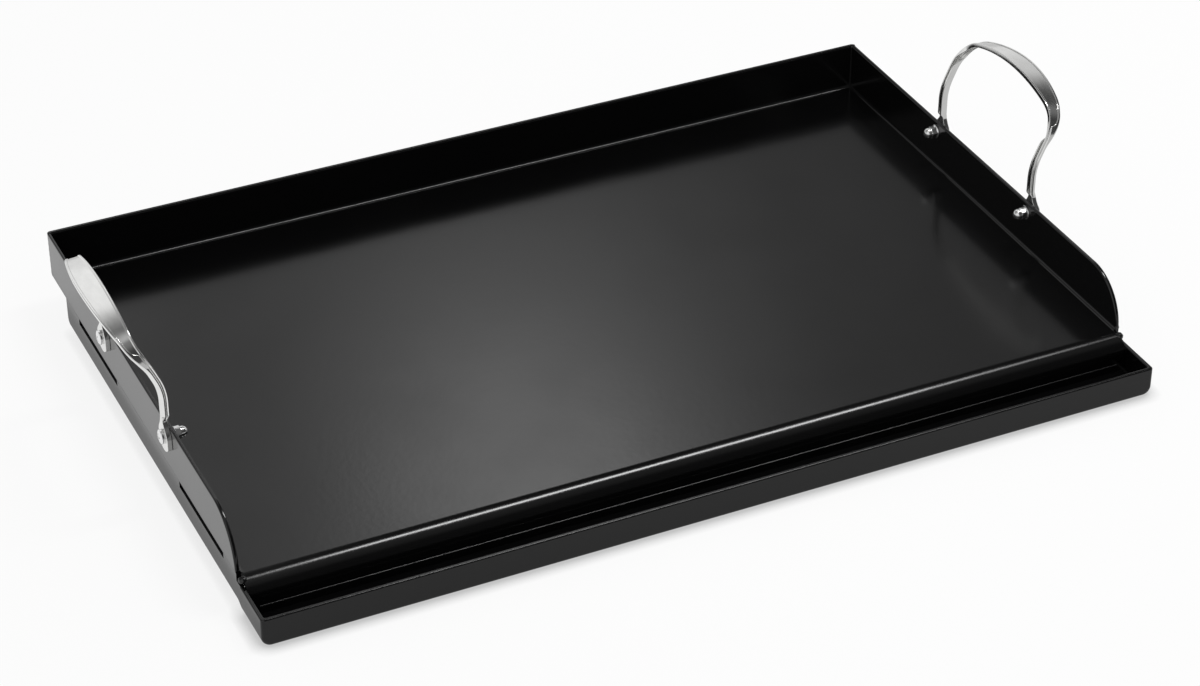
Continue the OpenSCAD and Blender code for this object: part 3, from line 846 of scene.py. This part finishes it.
def screw_solid(scene):
    """Pan-head screw along +Z from the wall's outer face."""
    sizes, handle, tray = scene.griddle_fastener, scene.griddle_handle, scene.griddle_tray
    base = handle.tab_depth
    head_r, crown, top = sizes.head_diameter / 2, sizes.head_crown, base + sizes.head_height
    soft, chamfer = 0.0002, 0.0006
    crown_r = (head_r**2 + crown**2) / (2 * crown)
    reach = math.degrees(math.asin((head_r - 2 * soft) / crown_r))
    profile = arc(0, top - crown_r, crown_r, 90, 90 - reach, 12)
    edge_z = profile[-1][1]
    profile += [(head_r - 0.75 * soft, edge_z - soft), (head_r, edge_z - 3 * soft)]
    profile += [(head_r, base + soft), (head_r - soft, base)]
    shank_r = sizes.screw_diameter / 2
    tip = -(tray.sheet + sizes.washer_thickness + sizes.nut_hole - chamfer)
    profile += [(shank_r, base), (shank_r, tip + chamfer), (shank_r - chamfer, tip), (0, tip)]
    head = lathe(profile, 64)
    cutter = Shell()
    rings = []
    for depth, taper in ((soft, 1.0), (-sizes.recess_depth, 0.72)):
        long, wide = sizes.recess_length / 2 * taper, sizes.recess_width / 2 * taper
        quarter = [(long, -wide), (long, wide), (wide, wide)]
        ring = []
        for k in range(4):
            c, s = round(math.cos(k * math.pi / 2)), round(math.sin(k * math.pi / 2))
            ring += [(c * x - s * y, s * x + c * y, top + depth) for x, y in quarter]
        rings.append(ring)
    cutter.skin(rings, (0, 1))
    return cut_away(head, cutter.solid())


def washer_solid(scene):
    """Flat washer inside the wall."""
    sizes, tray = scene.griddle_fastener, scene.griddle_tray
    outer, hole = sizes.washer_diameter / 2, sizes.screw_diameter / 2 + sizes.hole_gap
    top = -tray.sheet
    low, r = top - sizes.washer_thickness, 0.00018
    profile = [
        (hole, low), (outer - r, low), (outer, low + r), (outer, top - r), (outer - r, top),
        (hole, top), (hole, low),
    ]
    return lathe(profile, 64)


def cap_nut_solid(scene):
    """Cap nut with a chamfered hexagon and a dome, closed over the screw's end."""
    sizes, tray = scene.griddle_fastener, scene.griddle_tray
    flat, high = sizes.nut_flats / 2, sizes.nut_hexagon
    corner = flat / math.cos(math.pi / 6)
    # Cuts that break the hexagon's corners and faces, the fillet under the dome and the slack.
    corner_cut, face_cut, fillet, slack = 0.00012, 0.0001, 0.0003, 0.00005
    dome, hole = sizes.dome_diameter / 2, sizes.screw_diameter / 2 + slack
    steps = 96
    chamfer = (corner - flat) * math.tan(math.radians(30)) + 2 * face_cut
    levels = spread(0, chamfer, 5) + spread(high - chamfer, high, 5)

    def hexagon(turn, z):
        part = (turn + math.pi / 6) % (math.pi / 3) - math.pi / 6
        cone = flat + face_cut + min(z, high - z) / math.tan(math.radians(30))
        return min(flat / math.cos(part), corner - corner_cut, cone)

    turns = [math.tau * i / steps for i in range(steps)]
    rings = [[(hole, sizes.nut_hole)] * steps, [(hole, 0)] * steps]
    rings += [[(hexagon(t, z), z) for t in turns] for z in levels]
    rings += [[(dome + fillet - slack, high)] * steps]
    rings += [[(dome + slack, high + face_cut)] * steps]
    crown = arc(0, sizes.nut_height - dome, dome, 0, 90, 14)
    rings += [[p] * steps for p in [(dome, high + fillet)] + crown]
    shell = Shell()
    base = tray.sheet + sizes.washer_thickness
    placed = [
        [(r * math.cos(t), r * math.sin(t), -base - z) for (r, z), t in zip(ring, turns)]
        for ring in rings
    ]
    shell.skin(placed, (0,))
    return shell.solid()


# Welds


def bead_solid(start, run, side_a, side_b, length, radius, pitch, limit=None):
    """Rippled weld bead in the corner between two directions, running from a start point."""
    start, run, side_a, side_b = (Vector(v) for v in (start, run, side_a, side_b))
    shell = Shell()
    steps = max(12, round(length / pitch * 6))
    rings = []
    for s in spread(0, length, steps):
        middle = start + run * s
        # A free bead tapers off at both ends; one in a corner keeps within its limit.
        close = min(1, min(s, length - s) / (radius * 0.6))
        taper = math.sqrt(max(0.02, 1 - (1 - close) ** 2)) if limit is None else 1
        ring = [tuple(middle)]
        for t in spread(0, 90, 8):
            lag = pitch * 0.35 * ((t - 45) / 45) ** 2
            ripple = abs(math.sin(math.pi * (s + lag) / pitch))
            r = radius * (0.9 + 0.1 * ripple) * taper
            if limit is not None:
                r = min(r, max(limit(s), 1e-5))
            turn = math.radians(t)
            ring.append(tuple(middle + side_a * r * math.cos(turn) + side_b * r * math.sin(turn)))
        rings.append(ring)
    shell.skin(rings, (0, -1))
    return shell.solid()


def foot_weld_solid(node):
    """Lumpy spot of weld that fills the box of its CAD node."""
    low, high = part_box(node)
    bm = bmesh.new()
    bmesh.ops.create_icosphere(bm, subdivisions=4, radius=1)
    centre, size = (low + high) / 2, (high - low) / 2
    for vert in bm.verts:
        lump = 0.94 + 0.06 * noise.noise(vert.co * 2.3 + Vector((3.1, 0.4, 1.7)))
        ridge = 0.03 * math.sin(vert.co.y * 9)
        vert.co = centre + Vector(c * s for c, s in zip(vert.co * (lump + ridge * 0.5), size))
    return bm


# Finishes


class Graph:
    """Short ways to add nodes to a node tree. Sockets take values or outputs of other nodes."""

    def __init__(self, tree):
        self.nodes, self.links = tree.nodes, tree.links

    def add(self, kind, inputs=None, **settings):
        """A new node with its settings and sockets filled."""
        node = self.nodes.new("ShaderNode" + kind)
        for name, value in settings.items():
            setattr(node, name, value)
        return self.fill(node, inputs or {})

    def fill(self, node, inputs):
        for socket, given in inputs.items():
            if isinstance(given, bpy.types.NodeSocket):
                self.links.new(given, node.inputs[socket])
            else:
                node.inputs[socket].default_value = given
        return node

    def scaled(self, value, low, high, source=(0.3, 0.7), curve="LINEAR"):
        """A value mapped from its source range to the range from low to high."""
        ranges = {"From Min": source[0], "From Max": source[1], "To Min": low, "To Max": high}
        node = self.add("MapRange", {"Value": value, **ranges}, interpolation_type=curve)
        return node.outputs["Result"]

    def combine(self, operation, a, b):
        return self.add("Math", {0: a, 1: b}, operation=operation).outputs["Value"]

    def noise(self, place, scale, detail, stretch=None):
        """Noise over the surface, stretched along the given axes where asked."""
        if stretch is not None:
            place = self.add("Mapping", {"Vector": place, "Scale": stretch}).outputs["Vector"]
        node = self.add("TexNoise", {"Vector": place, "Scale": scale, "Detail": detail})
        return node.outputs["Fac"]

    def tint(self, shader, base, low, high, value):
        """Base colour that varies a little with a noise."""
        shades = [(*[min(1, c * level) for c in base], 1) for level in (low, high)]
        inputs = {"A": shades[0], "B": shades[1], "Factor": self.scaled(value, 0, 1)}
        mix = self.add("Mix", inputs, data_type="RGBA")
        self.fill(shader, {"Base Color": mix.outputs["Result"]})

    def bump(self, shader, height, strength, distance, under=None):
        """Fine relief, laid over another one where given."""
        node = self.add("Bump", {"Height": height, "Strength": strength, "Distance": distance})
        if under is not None:
            self.fill(node, {"Normal": under})
        self.fill(shader, {"Normal": node.outputs["Normal"]})
        return node.outputs["Normal"]


def new_finish(name, slot):
    """A new material for a slot of the record, with its graph and its shader."""
    finish = bpy.data.materials.new(name)
    finish.use_nodes = True
    finish["slot"] = slot
    return finish, Graph(finish.node_tree), finish.node_tree.nodes["Principled BSDF"]


def black_coating(scene):
    """Baked satin black coating with a fine orange peel."""
    if "satin_black_coating" in bpy.data.materials:
        return bpy.data.materials["satin_black_coating"]
    finish, graph, shader = new_finish("satin_black_coating", "black_coating")
    rough = scene.griddle_finish.coating_roughness
    place = graph.add("TexCoord").outputs["Object"]
    cloud = graph.noise(place, 14, 4)
    grain = graph.noise(place, 900, 2)
    peel = graph.noise(place, 260, 2)
    gloss = graph.scaled(cloud, rough - 0.015, rough + 0.02)
    graph.fill(shader, {"IOR": 1.52, "Roughness": gloss})
    graph.tint(shader, scene.griddle_finish.coating, 0.8, 1.3, grain)
    soft = graph.bump(shader, peel, 0.06, 0.0003)
    graph.bump(shader, grain, 0.05, 0.0001, soft)
    return finish


def handle_stainless(scene):
    """Polished stainless steel with fine lines along the strip."""
    if "polished_stainless" in bpy.data.materials:
        return bpy.data.materials["polished_stainless"]
    finish, graph, shader = new_finish("polished_stainless", "handle_steel")
    rough = scene.griddle_finish.stainless_roughness
    strip = graph.add("UVMap", uv_map="grain").outputs["UV"]
    lines = graph.noise(strip, 1, 2, (40, 1500, 1))
    cloud = graph.noise(strip, 1, 3, (90, 160, 1))
    patches = graph.scaled(cloud, rough - 0.03, rough + 0.03)
    gloss = graph.combine("ADD", graph.scaled(lines, -0.02, 0.03), patches)
    graph.fill(shader, {"Metallic": 1, "Roughness": gloss})
    graph.tint(shader, scene.griddle_finish.stainless, 0.95, 1.04, cloud)
    graph.bump(shader, lines, 0.03, 0.00005)
    return finish


def bright_plating(scene):
    """Bright plated steel of screws, washers and cap nuts."""
    if "bright_plating" in bpy.data.materials:
        return bpy.data.materials["bright_plating"]
    finish, graph, shader = new_finish("bright_plating", "fastener_steel")
    rough = scene.griddle_finish.bright_roughness
    cloud = graph.noise(graph.add("TexCoord").outputs["Object"], 500, 3)
    gloss = graph.scaled(cloud, rough - 0.03, rough + 0.05)
    graph.fill(shader, {"Metallic": 1, "Roughness": gloss})
    graph.tint(shader, scene.griddle_finish.bright, 0.94, 1, cloud)
    graph.bump(shader, cloud, 0.04, 0.0001)
    return finish


# Operators


class GRIDDLE_OT_stage(bpy.types.Operator):
    """Adds the camera, the studio floor and the soft lights"""

    bl_idname = "griddle.stage"
    bl_label = "Stage"

    def execute(self, context):
        scene, studio = context.scene, context.scene.griddle_studio
        scene.view_settings.view_transform = "Standard"
        camera = bpy.data.cameras.new("photo_camera")
        camera.lens, camera.sensor_width, camera.sensor_fit = studio.lens, 36, "HORIZONTAL"
        eye = bpy.data.objects.new("photo_camera", camera)
        eye.location = studio.eye
        eye.rotation_euler = (studio.pitch, 0, -studio.yaw)
        scene.collection.objects.link(eye)
        scene.camera = eye
        self.add_floor(scene, studio)
        self.add_world(scene, studio)
        # The longer lamp lets the light line on the roll fade out towards its ends.
        for name, place, aim, size, part in (
            ("overhead_softbox", (0.62, -0.05, 1.8), (0.3, -0.05, 0), (0.75, 0.3), 0.55),
            ("overhead_strip", (0.69, -0.05, 1.82), (0.34, -0.05, 0), (1.1, 0.3), 0.28),
        ):
            self.add_lamp(scene, name, place, aim, size, studio.key_power * part)
        return {"FINISHED"}

    def add_floor(self, scene, studio):
        """Pale paper that keeps the plate's shadow, partly cast and partly painted into its glow.
        """
        reach = 6
        corners = [(-reach, -reach, 0), (reach, -reach, 0), (reach, reach, 0), (-reach, reach, 0)]
        mesh = bpy.data.meshes.new("studio_floor")
        mesh.from_pydata(corners, [], [(0, 1, 2, 3)])
        ground = bpy.data.objects.new("studio_floor", mesh)
        ground.location.z = -0.0005
        scene.collection.objects.link(ground)
        paper = bpy.data.materials.new("studio_paper")
        paper.use_nodes = True
        graph = Graph(paper.node_tree)
        graph.nodes.clear()
        rays = graph.add("LightPath").outputs
        spot = graph.add("SeparateXYZ", {"Vector": graph.add("TexCoord").outputs["Object"]}).outputs
        # Polished metal and coating see bright paper on the left of the plate, and shade painted
        # into the paper's glow under it, on its right and, darkest, in front. The painted shade
        # starts just outside the left rail, which so mirrors a painted shadow of the plate at its
        # foot.
        under = graph.scaled(spot["X"], 0.98, 0.56, (-0.328, -0.325))
        beside = graph.scaled(spot["Y"], 0.45, under, (-0.21, -0.17))
        # The glow that the camera sees is dimmed by ambient occlusion close to the plate: a painted
        # contact shadow.
        close = graph.add("AmbientOcclusion", {"Distance": 0.01}, samples=8)
        painted_contact_shadow = graph.scaled(close.outputs["AO"], 0.6, 1.0, (0.5, 1.0))
        surface = graph.add("BsdfDiffuse", {"Color": (*studio.floor, 1)}).outputs["BSDF"]
        for ray, part, level in (("Is Camera Ray", 0.88, painted_contact_shadow), ("Is Glossy Ray", 0.8, beside)):
            glow = graph.add("Emission", {"Strength": level}).outputs["Emission"]
            seen = graph.combine("MULTIPLY", rays[ray], part)
            surface = graph.add("MixShader", {"Fac": seen, 1: surface, 2: glow}).outputs["Shader"]
        graph.add("OutputMaterial", {"Surface": surface})
        mesh.materials.append(paper)

    def add_world(self, scene, studio):
        """White for the camera, an even light on the plate and a studio in its reflections."""
        world = bpy.data.worlds.new("studio")
        scene.world = world
        world.use_nodes = True
        graph = Graph(world.node_tree)
        graph.nodes.clear()
        rays = graph.add("LightPath").outputs
        toward = graph.add("SeparateXYZ", {"Vector": graph.add("TexCoord").outputs["Generated"]})
        x, y, z = (toward.outputs[axis] for axis in "XYZ")

        def fade(value, start, end, low, high):
            """Level from low to high as one part of the direction goes from start to end."""
            return graph.scaled(value, low, high, (start, end), "SMOOTHSTEP")

        # The tray's floor mirrors the wall behind the plate, which is dimmer to the right.
        room = fade(x, -0.2, -0.05, 0.35, 1.0)
        room = fade(x, 0.13, 0.23, room, 0.52)
        room = fade(x, 0.3, 0.48, room, 0.31)
        # A bright patch of that wall gives the glow along the front of the floor.
        patch = fade(z, 0.52, 0.605, room, studio.glow)
        patch = fade(x, 0.25, 0.325, room, patch)
        room = fade(x, 0.325, 0.4, patch, room)
        # The rolled front edge mirrors a dark ceiling. The grips look past the plate's ends,
        # where the room is paler and darkens higher up.
        dark = fade(z, 0.62, 0.72, room, 0.05)
        left = fade(z, 0.8, 0.96, 1.2, 0.22)
        left = fade(x, -0.2, -0.05, 0.33, left)
        right = fade(z, 0.44, 0.66, 0.82, 0.08)
        room = fade(x, 0.18, 0.23, left, dark)
        room = fade(x, 0.49, 0.53, room, right)
        # Low down, the room is as white as the paper.
        room = fade(z, 0.1, 0.4, 1.0, room)
        # Only rounded pieces mirror what is in front on the left, so that corner can be bright.
        front = fade(z, 0.6, 0.85, 0.06, 0.24)
        shoulder = fade(z, 0.88, 0.96, front, 0.6)
        front = fade(x, 0.2, 0.26, shoulder, front)
        front = fade(x, -0.3, -0.1, 1.0, front)
        room = fade(y, -0.3, 0.15, front, room)
        # Rays from the camera and those that metal and gloss send on see the room.
        seen = rays["Is Camera Ray"]
        for name in ("Is Glossy Ray", "Is Transmission Ray"):
            seen = graph.combine("MAXIMUM", seen, rays[name])
        white = graph.combine("MAXIMUM", rays["Is Camera Ray"], room)
        levels = {"Factor": seen, "A": studio.ambient, "B": white}
        level = graph.add("Mix", levels, data_type="FLOAT").outputs["Result"]
        sky = graph.add("Background", {"Strength": level})
        graph.add("OutputWorld", {"Surface": sky.outputs["Background"]})

    def add_lamp(self, scene, name, place, aim, size, power):
        """Softbox at a place, aimed at a point, with its first side along X."""
        light = bpy.data.lights.new(name, "AREA")
        light.shape, light.size, light.size_y, light.energy = "RECTANGLE", *size, power
        lamp = bpy.data.objects.new(name, light)
        along, back = Vector((1, 0, 0)), (Vector(place) - Vector(aim)).normalized()
        first = (along - back * back.dot(along)).normalized()
        turn = Matrix((first, back.cross(first), back)).transposed()
        lamp.location, lamp.rotation_euler = place, turn.to_euler()
        lamp.visible_camera = False
        scene.collection.objects.link(lamp)


class GRIDDLE_OT_tray(bpy.types.Operator):
    """Adds the folded tray with its screw holes"""

    bl_idname = "griddle.tray"
    bl_label = "Tray"

    def execute(self, context):
        scene, sheet = context.scene, context.scene.griddle_tray.sheet
        bm = to_frame(tray_solid(scene), scene)
        for side in SIDES.values():
            bm = cut_away(bm, hole_pins(scene, side, -2 * sheet, sheet))
        add_piece("tray_sheet", bm, black_coating(scene), "griddle_tray")
        return {"FINISHED"}


class GRIDDLE_OT_trough(bpy.types.Operator):
    """Adds the grease trough"""

    bl_idname = "griddle.trough"
    bl_label = "Grease trough"

    def execute(self, context):
        scene = context.scene
        bm = to_frame(trough_solid(scene), scene)
        add_piece("trough_pan", bm, black_coating(scene), "grease_trough")
        return {"FINISHED"}


class GRIDDLE_OT_rails(bpy.types.Operator):
    """Adds the side rails with their vent slots"""

    bl_idname = "griddle.rails"
    bl_label = "Side rails"

    def execute(self, context):
        scene = context.scene
        for name, side in SIDES.items():
            bm = to_frame(rail_solid(scene, side), scene)
            add_piece(f"{name}_rail", bm, black_coating(scene), f"{name}_skirt")
        return {"FINISHED"}


class GRIDDLE_OT_handles(bpy.types.Operator):
    """Adds the two pressed handles"""

    bl_idname = "griddle.handles"
    bl_label = "Handles"

    def execute(self, context):
        scene, deep = context.scene, context.scene.griddle_handle.tab_depth
        steel = handle_stainless(scene)
        for name, side in SIDES.items():
            bm = to_frame(handle_solid(scene, side), scene)
            bm = cut_away(bm, hole_pins(scene, side, -deep, 2 * deep))
            add_piece(f"{name}_handle_strip", bm, steel, f"{name}_handle", sharp=50)
        return {"FINISHED"}


def add_fasteners(scene, kind, node, solid, turns):
    """One fastener at each screw, each turned by its own angle in degrees."""
    finish = bright_plating(scene)
    spots = [(f"{a}_{b}", side, end) for a, side in SIDES.items() for b, end in ENDS.items()]
    for (spot, side, end), turn in zip(spots, turns):
        bm = solid(scene)
        turned = Matrix.Rotation(math.radians(turn), 4, "Z")
        bm.transform(screw_place(scene, side, end) @ turned)
        add_piece(f"{spot}_{kind}", bm, finish, f"{spot}_{node}", sharp=30)


class GRIDDLE_OT_screws(bpy.types.Operator):
    """Adds the pan-head screws"""

    bl_idname = "griddle.screws"
    bl_label = "Screws"

    def execute(self, context):
        add_fasteners(context.scene, "pan_screw", "screw", screw_solid, (18, 52, 71, 35))
        return {"FINISHED"}


class GRIDDLE_OT_washers(bpy.types.Operator):
    """Adds the washers inside the walls"""

    bl_idname = "griddle.washers"
    bl_label = "Washers"

    def execute(self, context):
        add_fasteners(context.scene, "flat_washer", "washer", washer_solid, (0, 40, 80, 120))
        return {"FINISHED"}


class GRIDDLE_OT_cap_nuts(bpy.types.Operator):
    """Adds the cap nuts inside the walls"""

    bl_idname = "griddle.cap_nuts"
    bl_label = "Cap nuts"

    def execute(self, context):
        add_fasteners(context.scene, "dome_nut", "cap_nut", cap_nut_solid, (12, 41, 27, 49))
        return {"FINISHED"}


class GRIDDLE_OT_welds(bpy.types.Operator):
    """Adds the coated welds of corners, wall feet, rails and trough"""

    bl_idname = "griddle.welds"
    bl_label = "Welds"

    def execute(self, context):
        scene, m = context.scene, tray_measures(context.scene)
        coat = black_coating(scene)
        for name, side in SIDES.items():
            corner = self.back_corner(scene, m, side)
            add_piece(f"{name}_corner_bead", corner, coat, f"{name}_back_corner_weld")
            spot = f"{name}_wall_foot_weld"
            add_piece(f"{name}_foot_spot", foot_weld_solid(spot), coat, spot)
            stitches = self.stitches(scene, m, side)
            add_piece(f"{name}_rail_stitches", stitches, coat, f"{name}_skirt_welds")
        add_piece("trough_bead", self.seam(scene, m), coat, "trough_seam_weld")
        return {"FINISHED"}

    def back_corner(self, scene, m, side):
        """Bead that fills the notch between side wall and back wall."""
        tray, weld = scene.griddle_tray, scene.griddle_weld
        reach = m["half"] - m["weld_r"]
        low = m["foot_z"] - math.sqrt(m["out_r"] ** 2 - (reach - m["foot_x"]) ** 2)

        def room(s):
            z = low + s
            if z >= m["foot_z"]:
                return m["weld_r"]
            return m["foot_x"] + math.sqrt(m["out_r"] ** 2 - (m["foot_z"] - z) ** 2) - reach

        return bead_solid(
            (side * reach, tray.depth / 2 - m["weld_r"], low), (0, 0, 1), (side, 0, 0), (0, 1, 0),
            tray.rim_height - low, m["weld_r"], weld.corner_ripple, room,
        )

    def stitches(self, scene, m, side):
        """Short beads between rail and tray, one on each land beside the vents."""
        tray, rail, weld = scene.griddle_tray, scene.griddle_rail, scene.griddle_weld
        end, starts = vent_starts(scene)
        vents = [edge for start in starts for edge in (start, start + rail.vent_length)]
        edges = [tray.wall_setback, *vents, end]
        beads = bmesh.new()
        for near_end, far_end in zip(edges[::2], edges[1::2]):
            y = (near_end + far_end - weld.stitch_length) / 2 - tray.depth / 2
            join_into(beads, bead_solid(
                (side * m["inner"], y, m["under"]), (0, 1, 0), (-side, 0, 0), (0, 0, -1),
                weld.stitch_length, weld.stitch_radius, weld.stitch_ripple,
            ))
        return beads

    def seam(self, scene, m):
        """Long bead between the tray's lip and the trough's bottom."""
        tray, trough, weld = scene.griddle_tray, scene.griddle_trough, scene.griddle_weld
        reach = m["inner"] - (trough.end_radius - tray.sheet)
        return bead_solid(
            (-reach, m["lip_back"] - tray.depth / 2, tray.sheet), (1, 0, 0), (0, 1, 0), (0, 0, 1),
            2 * reach, weld.seam_radius, weld.seam_ripple,
        )


class GRIDDLE_PT_pieces(bpy.types.Panel):
    """Lists the pieces of the griddle plate"""

    bl_idname = "GRIDDLE_PT_pieces"
    bl_label = "Griddle plate"
    bl_space_type = "VIEW_3D"
    bl_region_type = "UI"
    bl_category = "Griddle"

    def draw(self, context):
        for step in STEPS:
            self.layout.operator(step.bl_idname)


STEPS = (
    GRIDDLE_OT_stage, GRIDDLE_OT_tray, GRIDDLE_OT_trough, GRIDDLE_OT_rails, GRIDDLE_OT_handles,
    GRIDDLE_OT_screws, GRIDDLE_OT_washers, GRIDDLE_OT_cap_nuts, GRIDDLE_OT_welds,
)
CLASSES = (*GROUPS.values(), *STEPS, GRIDDLE_PT_pieces)


def register():
    for item in CLASSES:
        bpy.utils.register_class(item)
    for name, group in GROUPS.items():
        setattr(bpy.types.Scene, name, PointerProperty(type=group))


def unregister():
    for name in GROUPS:
        delattr(bpy.types.Scene, name)
    for item in reversed(CLASSES):
        bpy.utils.unregister_class(item)


def main():
    register()
    bpy.ops.griddle.stage()
    bpy.ops.griddle.tray()
    bpy.ops.griddle.trough()
    bpy.ops.griddle.rails()
    bpy.ops.griddle.handles()
    bpy.ops.griddle.screws()
    bpy.ops.griddle.washers()
    bpy.ops.griddle.cap_nuts()
    bpy.ops.griddle.welds()


if __name__ == "__main__":
    main()
